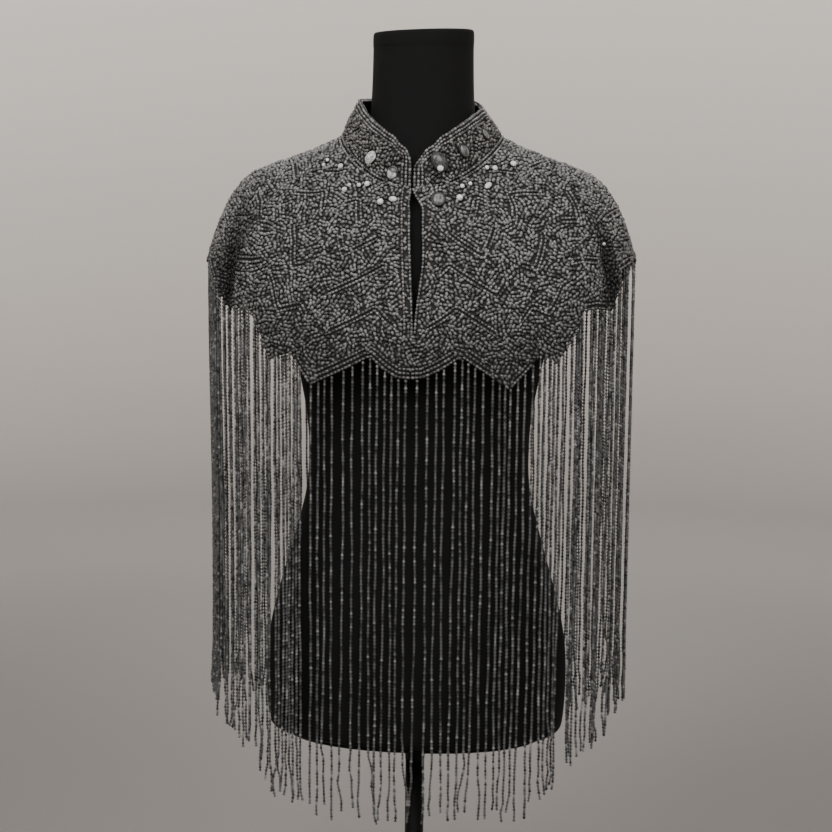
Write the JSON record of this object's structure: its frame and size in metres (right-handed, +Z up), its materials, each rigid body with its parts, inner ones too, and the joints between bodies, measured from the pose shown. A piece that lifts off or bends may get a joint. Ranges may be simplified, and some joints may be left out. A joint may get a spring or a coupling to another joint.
{
  "type": "beaded fringe capelet on a dress form",
  "caption": "Hip-length hanging bead fringe below a beaded shoulder capelet with a standing collar and keyhole front, on a limbless dress form with a pole and round base.",
  "frame": {"origin": "on the surface the stand rests on, under the middle of the round base", "axes": "+Z up along the pole; -Y is the garment's front; +X is the viewer's right seen from the front"},
  "size_m": [0.49, 0.3, 1.133],
  "materials": {
    "bead_cloth": "black net closely sewn with small grey glass beads",
    "bead_band": "rows of silvery grey glass beads on black net",
    "bead_fringe": "strings of small faceted grey glass beads",
    "crystal": "clear and milky glass stones in thin metal settings",
    "form_jersey": "matt black stretch jersey, pulled smooth",
    "stand_metal": "satin black powder coat"
  },
  "bodies": {
    "root": {"capelet_front_left": "bead_cloth", "capelet_front_right": "bead_cloth", "capelet_back": "bead_cloth", "collar": "bead_cloth", "collar_edge_band": "bead_band", "edge_band_left": "bead_band", "edge_band_right": "bead_band", "hem_band_front_left": "bead_band", "hem_band_front_right": "bead_band", "hem_band_back": "bead_band", "fringe_front_left": "bead_fringe", "fringe_front_right": "bead_fringe", "fringe_side_left": "bead_fringe", "fringe_side_right": "bead_fringe", "fringe_back_left": "bead_fringe", "fringe_back_right": "bead_fringe", "stone_left_collar_upper": "crystal", "stone_left_collar_front": "crystal", "stone_right_collar_front": "crystal", "stone_right_collar_middle": "crystal", "stone_right_collar_side": "crystal", "stone_right_yoke": "crystal", "form_torso": "form_jersey", "form_neck_cap": "form_jersey", "form_bottom_plate": "stand_metal", "pole_socket": "stand_metal", "pole": "stand_metal", "base_hub": "stand_metal", "base_disc": "stand_metal"}
  },
  "joints": []
}
